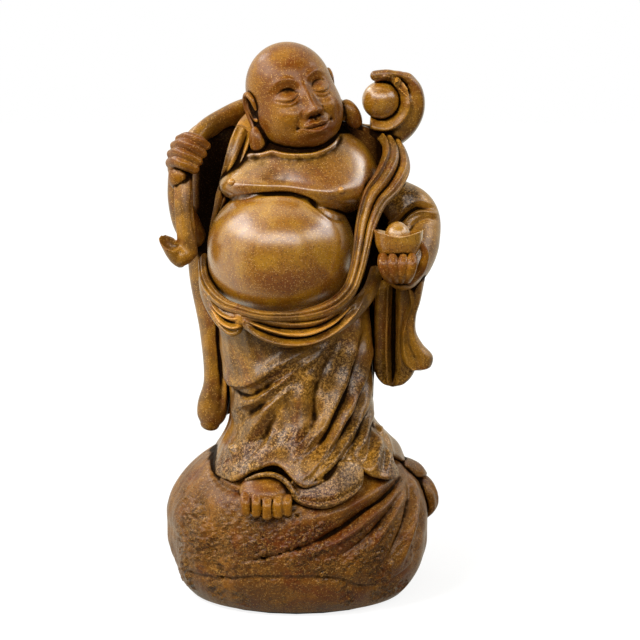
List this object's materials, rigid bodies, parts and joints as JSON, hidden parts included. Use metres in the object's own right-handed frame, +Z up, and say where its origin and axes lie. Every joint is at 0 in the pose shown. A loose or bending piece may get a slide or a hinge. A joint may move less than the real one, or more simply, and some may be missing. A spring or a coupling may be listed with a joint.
{
  "type": "laughing buddha figurine",
  "caption": "Cast bronze-coloured figurine of a smiling monk standing on a full sack, with a bare belly, draped robe, sceptre across the shoulders and an ingot in one hand.",
  "frame": {"origin": "centre of the felt pad's underside, on the surface that the figurine stands on", "axes": "+Z up, the face and belly look along -Y, +X is towards the monk's left hand"},
  "size_m": [0.0992, 0.0896, 0.1981],
  "materials": {
    "antiqued_bronze": "satin",
    "dark_bronze": "satin",
    "polished_bronze": "semi-gloss",
    "felt": "matt"
  },
  "bodies": {
    "root": {"felt_pad": "felt", "head": "polished_bronze", "ingot": "polished_bronze", "ruyi_pearl": "polished_bronze", "ruyi": "antiqued_bronze", "right_hand": "polished_bronze", "left_hand": "polished_bronze", "torso": "polished_bronze", "left_lapel": "antiqued_bronze", "right_lapel": "antiqued_bronze", "sack": "antiqued_bronze", "sack_mouth": "antiqued_bronze", "foot": "polished_bronze", "skirt": "antiqued_bronze", "under_robe_hem": "antiqued_bronze", "waist_sash": "antiqued_bronze", "sash_loop": "antiqued_bronze", "right_forearm": "dark_bronze", "left_sleeve": "antiqued_bronze", "left_cuff_front": "antiqued_bronze", "left_cuff_back": "antiqued_bronze", "right_sleeve": "dark_bronze", "outer_robe": "dark_bronze"}
  },
  "joints": []
}
